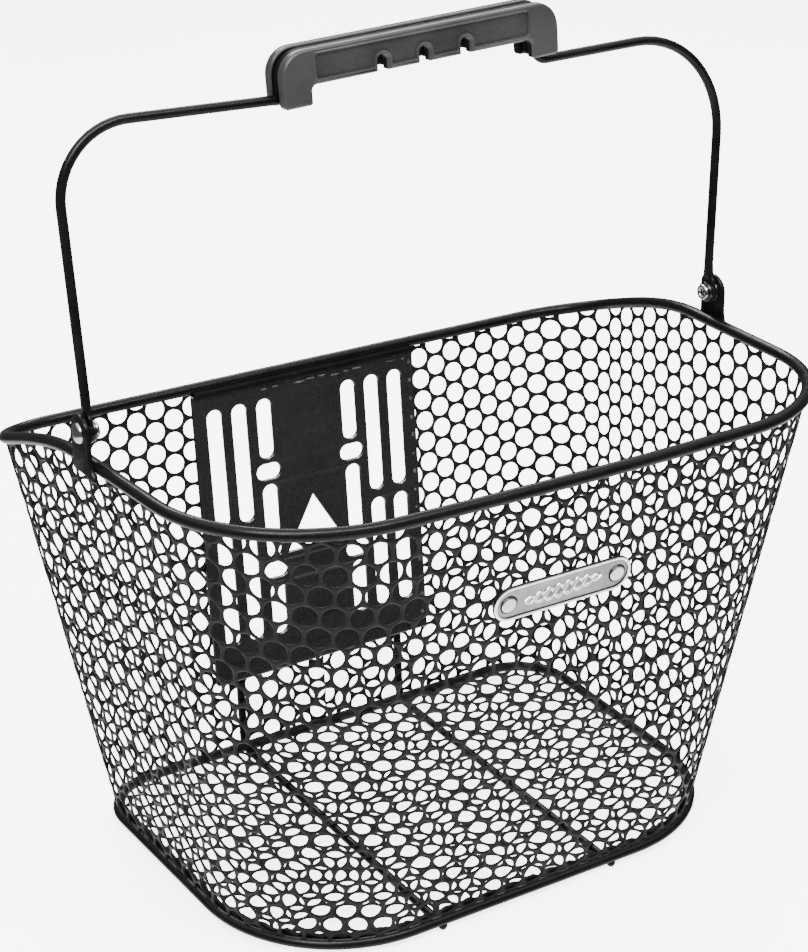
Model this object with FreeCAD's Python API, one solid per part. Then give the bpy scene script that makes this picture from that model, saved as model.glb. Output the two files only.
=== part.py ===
import FreeCAD, Part
import math
import os

# Handlebar basket of round-hole mesh with a folding bail handle.
# Frame: +X to the right, +Y to the back (the handlebar side), +Z up, millimetres.
# The origin is under the middle of the rim, at the level the basket stands on.

V = FreeCAD.Vector
X_AXIS, Y_AXIS, Z_AXIS = V(1, 0, 0), V(0, 1, 0), V(0, 0, 1)

# ---- driving dimensions -------------------------------------------------------------
RIM_D = 5.5                    # rim wire diameter
RIM_HALF_BACK = 164.8          # half width of the rim's centreline at the back
RIM_HALF_FRONT = 152.9
RIM_BACK_Y = 115.6
RIM_FRONT_Y = -115.6
RIM_R_BACK = 32.0              # plan radius of the back corners
RIM_R_FRONT = 68.8
RIM_BOW = 6.6                  # how far the middle of the front bulges past its corners
RIM_FRONT_Z = 218.1
RIM_DIP = 29.2                 # depth of the dip towards the back
RIM_DIP_START_Y = 14.9
RIM_DIP_END_Y = 147.5
RING_D = 5.0                   # base ring
RING_Z = 4.6
RING_HALF_BACK = 128.3
RING_HALF_FRONT = 124.8
RING_BACK_Y = 99.0
RING_FRONT_Y = -80.0
RING_R_BACK = 28.5
RING_R_FRONT = 66.0
MESH_T = 1.0                   # thickness of the mesh sheet
WELD_BITE = 0.3                # how far a sheet edge sinks into the wire it is welded to
WALL_LEAN = 0.16               # outward lean of the front and side walls, mm per mm of height
BASE_MESH_Z = 4.1              # underside of the base mesh, on the support wires
HEM_H = 4.0                    # turned-up hem of the base mesh, inside the wall
HEM_T = 1.0

PLATE_STANDOFF = 0.15          # weld-nugget gap between the plate and the mesh laps
PLATE_HALF = 61.0              # mounting plate
PLATE_T = 2.0
PLATE_BOTTOM_Z = 41.7
PLATE_TOP_Z = 190.2
PLATE_LAP = 7.0                # how far the mesh laps behind the plate's side margins
SLOT_W = 8.2
SLOT_X = (49.9, 36.7, 23.3)
SLOT_TOP_Z = 181.5
SLOT_MID_Z = (122.0, 117.7)    # the bar between the upper and lower long slots
SLOT_BOTTOM_Z = 60.3
OVAL_L = 13.1                  # oval cross holes in the inner columns
OVAL_Z = (144.9, 94.1)
OVAL_GAP = 2.5                 # bar between an oval and the slots above and below it
TRI_APEX_Z = 128.3
TRI_H = 27.0
TRI_W = 32.0
SUPPORT_D = 4.0                # support wires
SUPPORT_X = 45.8
SUPPORT_TOP_Z = 53.7
SUPPORT_FRONT_Y = -82.0
SUPPORT_BEND_R = 7.0

PIVOT_Y = 5.8                  # bail pivot
PIVOT_Z = 231.8
BRACKET_W = 15.6
BRACKET_T = 2.0
BRACKET_IN_X = 161.7           # inner face of the bracket
BRACKET_DROP = 17.5            # from the pivot to the bracket's lower edge
RIVET_D = 4.6                  # rivet shank
RIVET_HEAD_D = 9.0
RIVET_HEAD_H = 2.2
SPACER_D = 10.4
SPACER_T = 1.0
WASHER_D = 9.4
WASHER_T = 0.9
RUN = 0.05                     # radial running clearance at the pivot
GAP = 0.05                     # axial clearance between faces that turn on each other

BAIL_D = 4.2                   # bail wire
BAIL_LEAN = 1.8                # degrees the standing bail leans back
BAIL_H = 124.3                 # pivot to the top stretch's centreline
BAIL_SPLAY = 0.0423            # outward run of the legs per unit of height
BAIL_DROP = 2.7                # fall of the top stretch towards the grip
BAIL_R_LEFT = 30.0
BAIL_R_RIGHT = 46.0
EYE_W = 10.2                   # flattened eye
EYE_T = 2.2
EYE_FLAT = 6.2                 # height of the flat part above the pivot
EYE_TAPER = 14.0               # height at which the wire is round again
WIRE_UP_X = 60.3               # where the wire turns up into the grip's foot
WIRE_UP_R = 6.0
WIRE_CORE_H = 140.3            # height of the wire inside the grip

GRIP_T = 16.4                  # front to back
GRIP_HALF = 67.4
GRIP_TOP_H = 144.8             # heights above the pivot, with the bail upright
GRIP_BAR_H = 129.7
GRIP_FOOT_H = 121.6
GRIP_FOOT_IN = 53.9
GRIP_R_TOP = 11.0
GRIP_SKEW = 2.8                # degrees the grip sits askew on the wire, right end up
GRIP_MID_H = 133.3             # height of the point it is turned about
FLANGE_T = 6.0                 # core's flange, seen in the groove between the shells
FLANGE_INSET = 1.3
CORE_T = 6.4                   # core's thick middle, which holds the wire
CORE_INSET = 2.1
NOTCH_X = (-20.3, 0.0, 20.3)
NOTCH_W = 4.6
NOTCH_TOP_H = 136.5
PANEL_HALF = 52.0
PANEL_TOP_H = 142.4
PANEL_BOTTOM_H = 132.0
PANEL_RECESS = 1.0
PANEL_T = 0.8
SCREW_X = (-43.0, -10.2, 43.0)
SCREW_H = 134.7
SCREW_D = 2.0

BADGE_Z = 167.7                # badge centre on the front wall
BADGE_X = -5.5
BADGE_L = 68.4
BADGE_H = 16.5
BADGE_T = 1.4
BADGE_BORDER = 1.3
BADGE_RELIEF = 0.5
BADGE_RIVET_PITCH = 54.0
BADGE_RIVET_D = 7.0
BADGE_SHANK_D = 3.0

OUTLINE_N = 12                 # points on each rounded corner of an outline
RING_PARTS = 12                # stretches that a closed round bar is built from

os.makedirs("parts", exist_ok=True)


def save(name, shape):
    shape.exportStep("parts/" + name + ".step")


def smoothstep(t):
    t = min(max(t, 0.0), 1.0)
    return t * t * (3.0 - 2.0 * t)


# ---- outlines of the basket ---------------------------------------------------------
def rim_z(y):
    """Height of the rim's centreline, which dips towards the back."""
    return RIM_FRONT_Z - RIM_DIP * smoothstep((y - RIM_DIP_START_Y) / (RIM_DIP_END_Y - RIM_DIP_START_Y))


def corner(centre, radius, start, sweep):
    """Points round one corner, both ends included; angles in degrees from +X."""
    points = []
    for i in range(OUTLINE_N + 1):
        a = math.radians(start + sweep * i / OUTLINE_N)
        points.append((centre[0] + radius * math.cos(a), centre[1] + radius * math.sin(a)))
    return points


def half_outline(half_back, half_front, y_back, y_front, r_back, r_front, bow, straight):
    """The right half of a tapered, round-cornered outline, from back middle to front middle."""
    lean = math.degrees(math.atan2(half_back - half_front, y_back - y_front))
    side = math.radians(lean)

    def side_x(y):
        return half_front + (half_back - half_front) * (y - y_front) / (y_back - y_front)

    def centre(r, y_edge, inward):
        y = y_edge + inward * r
        return (side_x(y) - r / math.cos(side), y)

    back = corner(centre(r_back, y_back, -1), r_back, 90, -90 - lean)
    front = corner(centre(r_front, y_front, 1), r_front, -lean, lean - 90)
    points = [(back[0][0] * i / straight, y_back) for i in range(straight)] + back
    a, b = back[-1], front[0]
    points += [(a[0] + (b[0] - a[0]) * i / 8, a[1] + (b[1] - a[1]) * i / 8) for i in range(1, 8)]
    points += front
    points += [(front[-1][0] * (1 - i / straight), y_front) for i in range(1, straight + 1)]
    bent = []
    for x, y in points:
        t = min(max(2 * (y_back - y) / (y_back - y_front) - 1, 0), 1)
        bent.append((x, y + bow * t * t * (x / half_front) ** 2))
    return bent


def full_outline(half):
    """Both halves as one closed run of points, starting at the back middle."""
    return half + [(-x, y) for x, y in reversed(half[1:-1])]


def rim_half():
    return half_outline(RIM_HALF_BACK, RIM_HALF_FRONT, RIM_BACK_Y, RIM_FRONT_Y,
                        RIM_R_BACK, RIM_R_FRONT, RIM_BOW, 5)


def ring_half():
    return half_outline(RING_HALF_BACK, RING_HALF_FRONT, RING_BACK_Y, RING_FRONT_Y,
                        RING_R_BACK, RING_R_FRONT, 0.0, 5)


def offset(points, distance):
    """A closed run of (x, y) points moved outwards by a distance."""
    moved = []
    n = len(points)
    for i, (x, y) in enumerate(points):
        x0, y0 = points[i - 1]
        x1, y1 = points[(i + 1) % n]
        length = math.hypot(x1 - x0, y1 - y0)
        moved.append((x - (y1 - y0) / length * distance, y + (x1 - x0) / length * distance))
    return moved


def closed_curve(points):
    curve = Part.BSplineCurve()
    curve.interpolate(Points=[V(*p) for p in points], PeriodicFlag=True)
    return Part.Wire(curve.toShape())


def round_ring(points, diameter):
    """A closed round bar along a smooth curve that stays roughly level."""
    curve = Part.BSplineCurve()
    curve.interpolate(Points=[V(*p) for p in points], PeriodicFlag=True)
    first, last = curve.FirstParameter, curve.LastParameter
    stops = [first + (last - first) * i / RING_PARTS for i in range(RING_PARTS + 1)]
    path = Part.Wire([curve.toShape(a, b) for a, b in zip(stops, stops[1:])])
    sweep = Part.BRepOffsetAPI.MakePipeShell(path)
    sweep.setBiNormalMode(Z_AXIS)
    ring = Part.makeCircle(diameter / 2, curve.value(first), curve.tangent(first)[0])
    sweep.add(Part.Wire(ring))
    sweep.build()
    solid = Part.Solid(Part.Shell(sweep.shape().Faces))
    if solid.Volume < 0:
        solid.reverse()
    return solid


def fillet_path(points, radii):
    """A wire through the points with an arc of the given radius at each inner one."""
    edges = []
    start = points[0]
    for i, r in enumerate(radii, 1):
        p = points[i]
        a = (points[i - 1] - p).normalize()
        b = (points[i + 1] - p).normalize()
        half = a.getAngle(b) / 2
        reach = r / math.tan(half)
        first, last = p + a * reach, p + b * reach
        middle = p + (a + b).normalize() * (r / math.sin(half) - r)
        edges.append(Part.makeLine(start, first))
        edges.append(Part.Arc(first, middle, last).toShape())
        start = last
    edges.append(Part.makeLine(start, points[-1]))
    return Part.Wire(edges)


def wall_curve(outline, z_of_y, shift):
    moved = offset(outline, shift)
    return closed_curve([(x, y, z_of_y(y)) for x, y in moved])


def wall_body():
    """The tapered wall as a closed sheet solid between the ring and the rim."""
    outline_top = full_outline(rim_half())
    outline_low = full_outline(ring_half())
    top_stop = RIM_D / 2 - WELD_BITE
    low_stop = RING_D / 2 - WELD_BITE
    top_in, top_out = [
        wall_curve(outline_top, lambda y: rim_z(y) - top_stop, side - top_stop * WALL_LEAN)
        for side in (-MESH_T / 2, MESH_T / 2)]
    low_in, low_out = [
        wall_curve(outline_low, lambda y: RING_Z + low_stop, side + low_stop * WALL_LEAN)
        for side in (-MESH_T / 2, MESH_T / 2)]
    faces = [Part.makeRuledSurface(a, b) for a, b in
             ((low_out, top_out), (low_in, top_in), (low_in, low_out), (top_in, top_out))]
    faces = [f for shape in faces for f in shape.Faces]
    shell = Part.makeShell(faces)
    shell.sewShape()
    solid = Part.makeSolid(Part.Shell(shell.Faces))
    if solid.Volume < 0:
        solid.reverse()
    return solid


# ---- back wall plane, which the plate follows ---------------------------------------
BACK_RISE = rim_z(RIM_BACK_Y) - RING_Z
BACK_TILT = math.atan2(RIM_BACK_Y - RING_BACK_Y, BACK_RISE)


def wall_back_y(z):
    """The middle of the back wall's sheet at a height."""
    return RING_BACK_Y + (z - RING_Z) * math.tan(BACK_TILT)


def plate_point(x, z, depth=0.0):
    """A point on the plate's front face at height z, moved back by a depth."""
    inset = MESH_T / 2 + PLATE_STANDOFF + PLATE_T - depth
    y = wall_back_y(z) - inset / math.cos(BACK_TILT)
    return V(x, y, z)


PLATE_NORMAL = V(0, math.cos(BACK_TILT), -math.sin(BACK_TILT))


def plate_prism(points, depth=PLATE_T, start=0.0):
    """A prism through the plate from an outline of (x, z) points."""
    wire = Part.makePolygon([plate_point(x, z, start) for x, z in points + points[:1]])
    return Part.Face(wire).extrude(PLATE_NORMAL * depth)


def plate_slot(x, z_low, z_high, half_x=SLOT_W / 2, across=False):
    """Cutter for a round-ended slot; across=True lays it along X about its middle."""
    r = SLOT_W / 2
    body = []
    for i in range(13):
        a = math.pi * i / 12
        if across:
            body.append((x + half_x - r + r * math.sin(a), z_low + r * math.cos(a)))
        else:
            body.append((x + r * math.cos(a), z_high - r + r * math.sin(a)))
    for i in range(13):
        a = math.pi * i / 12
        if across:
            body.append((x - half_x + r - r * math.sin(a), z_low - r * math.cos(a)))
        else:
            body.append((x - r * math.cos(a), z_low + r - r * math.sin(a)))
    return plate_prism(body, PLATE_T + 8, -4)


def mounting_plate():
    outline = [(-PLATE_HALF, PLATE_BOTTOM_Z), (PLATE_HALF, PLATE_BOTTOM_Z),
               (PLATE_HALF, PLATE_TOP_Z), (-PLATE_HALF, PLATE_TOP_Z)]
    plate = plate_prism(outline)
    cutters = []
    for side in (-1, 1):
        for x in SLOT_X[:2]:
            cutters.append(plate_slot(side * x, SLOT_MID_Z[0], SLOT_TOP_Z))
            cutters.append(plate_slot(side * x, SLOT_BOTTOM_Z, SLOT_MID_Z[1]))
        edges = [SLOT_TOP_Z]
        for z in OVAL_Z:
            edges += [z + SLOT_W / 2 + OVAL_GAP, z - SLOT_W / 2 - OVAL_GAP]
            cutters.append(plate_slot(side * SLOT_X[2], z, z, OVAL_L / 2, True))
        edges.append(SLOT_BOTTOM_Z)
        for top, low in zip(edges[::2], edges[1::2]):
            cutters.append(plate_slot(side * SLOT_X[2], low, top))
    foot = TRI_APEX_Z - TRI_H
    triangle = [(-TRI_W / 2, foot), (TRI_W / 2, foot), (0, TRI_APEX_Z)]
    cutters.append(plate_prism(triangle, PLATE_T + 8, -4))
    return plate.cut(cutters)


def weld_bead():
    """The fillet weld that joins the plate's top edge to the rim."""
    z = PLATE_TOP_Z - 1.5
    start = plate_point(-PLATE_HALF + 2, z, -0.3)
    bead = Part.makeCylinder(1.6, 2 * PLATE_HALF - 4, start, X_AXIS)
    return bead


# ---- basket -------------------------------------------------------------------------
def rim_wire():
    return round_ring([(x, y, rim_z(y)) for x, y in full_outline(rim_half())], RIM_D)


def base_ring():
    return round_ring([(x, y, RING_Z) for x, y in full_outline(ring_half())], RING_D)


def wall_mesh():
    window = PLATE_HALF - PLATE_LAP
    box = Part.makeBox(2 * window, 60, 400, V(-window, 60, PLATE_BOTTOM_Z + PLATE_LAP))
    shanks = on_front(Part.makeCompound(badge_holes(-5, 5, BADGE_SHANK_D)))
    return wall_body().cut([box, shanks])


def base_mesh():
    inner = offset(full_outline(ring_half()), -1.2)
    face = Part.Face(closed_curve([(x, y, BASE_MESH_Z) for x, y in inner]))
    return face.extrude(Z_AXIS * MESH_T)


def base_hem():
    """The base sheet's turned-up margin, a low band just inside the wall."""
    outline = full_outline(ring_half())
    z = BASE_MESH_Z + MESH_T
    edge = -RING_D / 2 + WELD_BITE
    outer = Part.Face(closed_curve([(x, y, z) for x, y in offset(outline, edge)]))
    inner = Part.Face(closed_curve([(x, y, z) for x, y in offset(outline, edge - HEM_T)]))
    return outer.extrude(Z_AXIS * HEM_H).cut(inner.extrude(Z_AXIS * HEM_H))


def support_wire(side):
    """From behind the plate's foot down the back wall, under the base, to the front ring."""
    x = side * SUPPORT_X
    out = MESH_T / 2 + SUPPORT_D / 2
    low_z = SUPPORT_D / 2
    foot_y = wall_back_y(low_z) + out / math.cos(BACK_TILT)
    top_y = wall_back_y(SUPPORT_TOP_Z) + out / math.cos(BACK_TILT)
    foot_y = max(foot_y, RING_BACK_Y + RING_D / 2 + SUPPORT_D / 2)
    points = [V(x, top_y, SUPPORT_TOP_Z), V(x, foot_y, low_z), V(x, SUPPORT_FRONT_Y, low_z)]
    path = fillet_path(points, [SUPPORT_BEND_R])
    ring = Part.Wire(Part.makeCircle(SUPPORT_D / 2, points[0], points[1] - points[0]))
    return path.makePipeShell([ring], True, True, 2)


# ---- pivots -------------------------------------------------------------------------
def pivot(side, x):
    return V(side * x, PIVOT_Y, PIVOT_Z)


def disc(side, x_from, x_to, diameter, hole=0.0):
    """A disc on the pivot axis between two distances from the middle plane."""
    body = Part.makeCylinder(diameter / 2, x_to - x_from, pivot(side, x_from), V(side, 0, 0))
    if hole:
        cut = Part.makeCylinder(hole / 2, x_to - x_from + 2, pivot(side, x_from - 1), V(side, 0, 0))
        body = body.cut(cut)
    return body


EYE_OUT_X = BRACKET_IN_X - SPACER_T - GAP
EYE_IN_X = EYE_OUT_X - EYE_T
WASHER_OUT_X = EYE_IN_X - GAP


def bracket(side):
    half = BRACKET_W / 2
    low = PIVOT_Z - BRACKET_DROP
    slab = Part.makeBox(BRACKET_T, BRACKET_W, BRACKET_DROP,
                        V(BRACKET_IN_X, PIVOT_Y - half, low))
    if side < 0:
        slab = slab.mirror(V(0, 0, 0), X_AXIS)
    top = disc(side, BRACKET_IN_X, BRACKET_IN_X + BRACKET_T, BRACKET_W)
    hole = disc(side, BRACKET_IN_X - 1, BRACKET_IN_X + BRACKET_T + 1, RIVET_D)
    return slab.fuse(top).cut(hole).removeSplitter()


def spacer_washer(side):
    return disc(side, BRACKET_IN_X - SPACER_T, BRACKET_IN_X, SPACER_D, RIVET_D)


def inner_washer(side):
    return disc(side, WASHER_OUT_X - WASHER_T, WASHER_OUT_X, WASHER_D, RIVET_D)


def pivot_rivet(side):
    """Domed head outside the bracket, shank through the eye, rolled hollow end inside."""
    head_x = BRACKET_IN_X + BRACKET_T
    end_x = WASHER_OUT_X - WASHER_T
    shank = disc(side, end_x, head_x, RIVET_D)
    r = RIVET_HEAD_D / 2
    ball_r = (r * r + RIVET_HEAD_H ** 2) / (2 * RIVET_HEAD_H)
    ball = Part.makeSphere(ball_r, pivot(side, head_x + RIVET_HEAD_H - ball_r))
    head = ball.common(disc(side, head_x, head_x + RIVET_HEAD_H + 1, RIVET_HEAD_D + 2))
    roll = Part.makeTorus(2.6, 1.0, pivot(side, end_x - 1.0), V(side, 0, 0))
    neck = disc(side, end_x - 1.0, end_x, 5.4)
    hollow = disc(side, end_x - 2.5, end_x + 1.5, 3.2)
    return shank.fuse([head, neck, roll]).cut(hollow).removeSplitter()


# ---- bail ---------------------------------------------------------------------------
EYE_MID_X = (EYE_OUT_X + EYE_IN_X) / 2


def upright(x, h, depth=0.0):
    """A point of the bail before it leans: h above the pivot, depth to the back."""
    return V(x, PIVOT_Y + depth, PIVOT_Z + h)


def askew(shape):
    """The grip's slight turn in its own plane."""
    turned = shape.copy()
    turned.rotate(upright(0, GRIP_MID_H), Y_AXIS, -GRIP_SKEW)
    return turned


def askew_point(x, h):
    a = math.radians(GRIP_SKEW)
    rise = h - GRIP_MID_H
    return upright(x * math.cos(a) - rise * math.sin(a),
                   GRIP_MID_H + x * math.sin(a) + rise * math.cos(a))


def lean(shape):
    leaned = shape.copy()
    leaned.rotate(V(0, PIVOT_Y, PIVOT_Z), X_AXIS, -BAIL_LEAN)
    return leaned


def bail_path():
    """Centreline from the left leg's flattened end over the top to the right one."""
    def leg(side, h):
        return upright(side * (EYE_MID_X + BAIL_SPLAY * (h - EYE_TAPER)), h)

    def corner_top(side):
        return leg(side, BAIL_H)

    foot_h = BAIL_H - BAIL_DROP
    points = [leg(-1, EYE_TAPER), corner_top(-1), upright(-WIRE_UP_X, foot_h),
              askew_point(-WIRE_UP_X, WIRE_CORE_H), askew_point(WIRE_UP_X, WIRE_CORE_H),
              upright(WIRE_UP_X, foot_h), corner_top(1), leg(1, EYE_TAPER)]
    radii = [BAIL_R_LEFT, WIRE_UP_R, WIRE_UP_R, WIRE_UP_R, WIRE_UP_R, BAIL_R_RIGHT]
    return fillet_path(points, radii)


def bail_bar(diameter):
    path = bail_path()
    start = upright(-EYE_MID_X, EYE_TAPER)
    along = V(-BAIL_SPLAY, 0, 1)
    ring = Part.Wire(Part.makeCircle(diameter / 2, start, along))
    return path.makePipeShell([ring], True, True, 2)


def flattened_eye(side):
    """The pierced, flattened end of the wire and its taper into the round leg."""
    eye = Part.makeCylinder(EYE_W / 2, EYE_T, pivot(side, EYE_IN_X), V(side, 0, 0))
    mid = V(side * EYE_MID_X, PIVOT_Y, PIVOT_Z)
    r = BAIL_D / 2 * 0.88

    def section(h, half_x, half_y):
        centre = mid + V(0, 0, h)
        turns = ((-1, -1), (1, -1), (1, 1), (-1, 1), (-1, -1))
        return Part.makePolygon([centre + V(a * half_x, b * half_y, 0) for a, b in turns])

    flat = section(EYE_FLAT, EYE_T / 2, EYE_W * 0.42)
    slab = Part.makeLoft([section(0, EYE_T / 2, EYE_W * 0.49), flat], True)
    taper = Part.makeLoft([flat, section(EYE_TAPER, r, r)], True)
    return eye.fuse([slab, taper])


def bail_wire():
    bar = bail_bar(BAIL_D)
    body = bar.fuse([flattened_eye(-1), flattened_eye(1)])
    for side in (-1, 1):
        body = body.cut(disc(side, EYE_IN_X - 2, EYE_OUT_X + 2, RIVET_D + 2 * RUN))
    return lean(body)


# ---- grip ---------------------------------------------------------------------------
def grip_outline(inset=0.0):
    """Front view of the grip: a bar with two feet, as a closed run of (x, h) points."""
    half = GRIP_HALF - inset
    top = GRIP_TOP_H - inset
    bar = GRIP_BAR_H + inset
    foot = GRIP_FOOT_H + inset
    foot_in = GRIP_FOOT_IN + inset
    r = GRIP_R_TOP
    right = [(foot_in - 2, bar), (foot_in, bar - 2), (foot_in, foot + 1.5), (foot_in + 1.5, foot),
             (half - 2, foot), (half, foot + 2)]
    for i in range(9):
        a = math.pi / 2 * i / 8
        right.append((half - r + r * math.cos(a), top - r + r * math.sin(a)))
    left = [(-x, h) for x, h in reversed(right)]
    return right + left


def grip_prism(outline, depth_from, depth_to):
    wire = Part.makePolygon([upright(x, h, depth_from) for x, h in outline + outline[:1]])
    return Part.Face(wire).extrude(Y_AXIS * (depth_to - depth_from))


def notch_cutters(width):
    """U notches in the bar's lower edge; a wider one has the same centre of curvature."""
    cutters = []
    for x in NOTCH_X:
        r = width / 2
        cap_h = NOTCH_TOP_H - NOTCH_W / 2
        post = Part.makeBox(width, 40, cap_h - GRIP_BAR_H + 6, upright(x - r, GRIP_BAR_H - 6, -20))
        cap = Part.makeCylinder(r, 40, upright(x, cap_h, -20), Y_AXIS)
        cutters.append(post.fuse(cap))
    return cutters


def screw_cutters():
    return [Part.makeCylinder(SCREW_D / 2, GRIP_T, upright(x, SCREW_H, -5.5), Y_AXIS)
            for x in SCREW_X]


def grip_shell(side):
    """One half of the clamshell; side -1 is the front half and 1 the rear half."""
    near, far = FLANGE_T / 2, GRIP_T / 2
    depths = (-far, -near) if side < 0 else (near, far)
    shell = grip_prism(grip_outline(), *depths)
    edges = [e for e in shell.Edges
             if all(abs(v.Point.y - PIVOT_Y - side * far) < 0.01 for v in e.Vertexes)]
    try:
        shell = shell.makeFillet(1.6, edges)
    except Exception:
        shell = shell.makeChamfer(1.0, edges)
    cutters = notch_cutters(NOTCH_W) + [core_block(0.05)] + screw_cutters()
    if side < 0:
        cutters.append(grip_panel_block(PANEL_RECESS, 0.0))
    else:
        cutters += [Part.makeCylinder(2.0, 4, upright(x, SCREW_H, far - 1.8), Y_AXIS)
                    for x in SCREW_X]
    return lean(askew(shell.cut(cutters)).cut(bail_bar(BAIL_D + 0.1)))


def grip_panel_block(depth, start):
    """Slab for the front panel, from a depth behind the front face."""
    y = -GRIP_T / 2 + start
    return Part.makeBox(2 * PANEL_HALF, depth, PANEL_TOP_H - PANEL_BOTTOM_H,
                        upright(-PANEL_HALF, PANEL_BOTTOM_H, y))


def grip_panel():
    slab = grip_panel_block(PANEL_T, PANEL_RECESS - PANEL_T)
    return lean(askew(slab.cut(notch_cutters(NOTCH_W + 1.6))))


def core_block(clearance=0.0):
    half = CORE_T / 2 + clearance
    block = grip_prism(grip_outline(CORE_INSET - clearance), -half, half)
    return block.cut(notch_cutters(NOTCH_W + 2.6 - 2 * clearance))


def grip_core():
    """Core moulded round the wire: a thick middle and a flange that parts the shells."""
    flange = grip_prism(grip_outline(FLANGE_INSET), -FLANGE_T / 2, FLANGE_T / 2)
    flange = flange.cut(notch_cutters(NOTCH_W + 2 * FLANGE_INSET))
    core = flange.fuse(core_block()).removeSplitter()
    return lean(askew(core.cut(screw_cutters())).cut(bail_bar(BAIL_D + 0.1)))


def grip_screws():
    screws = []
    for x in SCREW_X:
        shank = Part.makeCylinder(SCREW_D / 2 - 0.05, 11.7, upright(x, SCREW_H, -5.5), Y_AXIS)
        head = Part.makeCylinder(1.9, 1.4, upright(x, SCREW_H, GRIP_T / 2 - 1.8), Y_AXIS)
        screws.append(shank.fuse(head))
    return lean(askew(Part.makeCompound(screws)))


# ---- badge --------------------------------------------------------------------------
def front_wall_y(z):
    """The middle of the front wall's sheet at a height."""
    t = (z - RING_Z) / (rim_z(RIM_FRONT_Y) - RING_Z)
    return RING_FRONT_Y + (RIM_FRONT_Y - RING_FRONT_Y) * t


FRONT_TILT = math.atan2(RING_FRONT_Y - RIM_FRONT_Y, rim_z(RIM_FRONT_Y) - RING_Z)


def on_front(shape):
    """Moves a shape built flat about the origin, facing -Y, onto the front wall."""
    placed = shape.copy()
    placed.rotate(V(0, 0, 0), X_AXIS, math.degrees(FRONT_TILT))
    placed.translate(V(BADGE_X, front_wall_y(BADGE_Z), BADGE_Z))
    return placed


def obround(length, height, y_from, y_to):
    r = height / 2
    c = length / 2 - r
    box = Part.makeBox(2 * c, y_to - y_from, height, V(-c, y_from, -r))
    ends = [Part.makeCylinder(r, y_to - y_from, V(s * c, y_from, 0), Y_AXIS) for s in (-1, 1)]
    return box.fuse(ends).removeSplitter()


def badge_holes(y_from, y_to, diameter):
    return [Part.makeCylinder(diameter / 2, y_to - y_from, V(s * BADGE_RIVET_PITCH / 2, y_from, 0),
                              Y_AXIS) for s in (-1, 1)]


BADGE_BACK_Y = -MESH_T / 2 - 0.6      # the bowed wall's middle stands proud of its ends


def badge_plate():
    back = BADGE_BACK_Y
    plate = obround(BADGE_L, BADGE_H, back - BADGE_T, back)
    field = obround(BADGE_L - 2 * BADGE_BORDER, BADGE_H - 2 * BADGE_BORDER,
                    back - BADGE_T - 1, back - BADGE_T + BADGE_RELIEF)
    return on_front(plate.cut([field] + badge_holes(back - 5, back + 5, BADGE_SHANK_D)))


def badge_rivets():
    rivets = []
    face = BADGE_BACK_Y - BADGE_T + BADGE_RELIEF
    for side in (-1, 1):
        x = side * BADGE_RIVET_PITCH / 2
        head = Part.makeCylinder(BADGE_RIVET_D / 2, 0.9, V(x, face - 0.9, 0), Y_AXIS)
        shank = Part.makeCylinder(BADGE_SHANK_D / 2, 1.9 - face, V(x, face, 0), Y_AXIS)
        tail = Part.makeCylinder(2.4, 0.8, V(x, 1.9, 0), Y_AXIS)
        rivets.append(head.fuse([shank, tail]).removeSplitter())
    return on_front(Part.makeCompound(rivets))


def badge_washers():
    washers = []
    for side in (-1, 1):
        x = side * BADGE_RIVET_PITCH / 2
        ring = Part.makeCylinder(5.5, 0.8, V(x, 1.1, 0), Y_AXIS)
        hole = Part.makeCylinder(BADGE_SHANK_D / 2, 3, V(x, 0, 0), Y_AXIS)
        washers.append(ring.cut(hole))
    return on_front(Part.makeCompound(washers))


# ---- the nodes ----------------------------------------------------------------------
save("rim_wire", rim_wire())
save("base_ring", base_ring())
save("base_hem", base_hem())
save("wall_mesh", wall_mesh())
save("base_mesh", base_mesh())
save("mounting_plate", mounting_plate())
save("plate_weld", weld_bead())
save("bail_wire", bail_wire())
save("grip_front_shell", grip_shell(-1))
save("grip_rear_shell", grip_shell(1))
save("grip_core", grip_core())
save("grip_panel", grip_panel())
save("grip_screws", grip_screws())
save("badge_plate", badge_plate())
save("badge_rivets", badge_rivets())
save("badge_washers", badge_washers())
for side, word in ((-1, "left"), (1, "right")):
    save("support_wire_" + word, support_wire(side))
    save("pivot_bracket_" + word, bracket(side))
    save("spacer_washer_" + word, spacer_washer(side))
    save("inner_washer_" + word, inner_washer(side))
    save("pivot_rivet_" + word, pivot_rivet(side))
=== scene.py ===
import math

import bmesh
import bpy
import numpy as np
from mathutils import Matrix, Vector, noise
from mathutils.geometry import tessellate_polygon


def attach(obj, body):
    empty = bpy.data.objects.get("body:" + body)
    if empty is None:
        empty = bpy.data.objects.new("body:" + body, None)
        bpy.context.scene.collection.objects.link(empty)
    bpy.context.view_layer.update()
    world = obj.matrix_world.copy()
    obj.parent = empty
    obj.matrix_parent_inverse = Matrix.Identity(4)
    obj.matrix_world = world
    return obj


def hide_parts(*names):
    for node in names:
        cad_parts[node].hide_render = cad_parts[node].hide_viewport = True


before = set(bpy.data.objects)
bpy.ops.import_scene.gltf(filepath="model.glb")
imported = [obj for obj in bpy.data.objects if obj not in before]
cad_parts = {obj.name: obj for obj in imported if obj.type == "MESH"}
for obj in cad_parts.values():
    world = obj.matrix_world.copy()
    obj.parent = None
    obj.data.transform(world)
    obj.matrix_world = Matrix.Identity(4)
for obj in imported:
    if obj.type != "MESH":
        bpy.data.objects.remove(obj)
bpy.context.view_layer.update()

MM = 0.001
RNG = np.random.default_rng(7)

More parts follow.
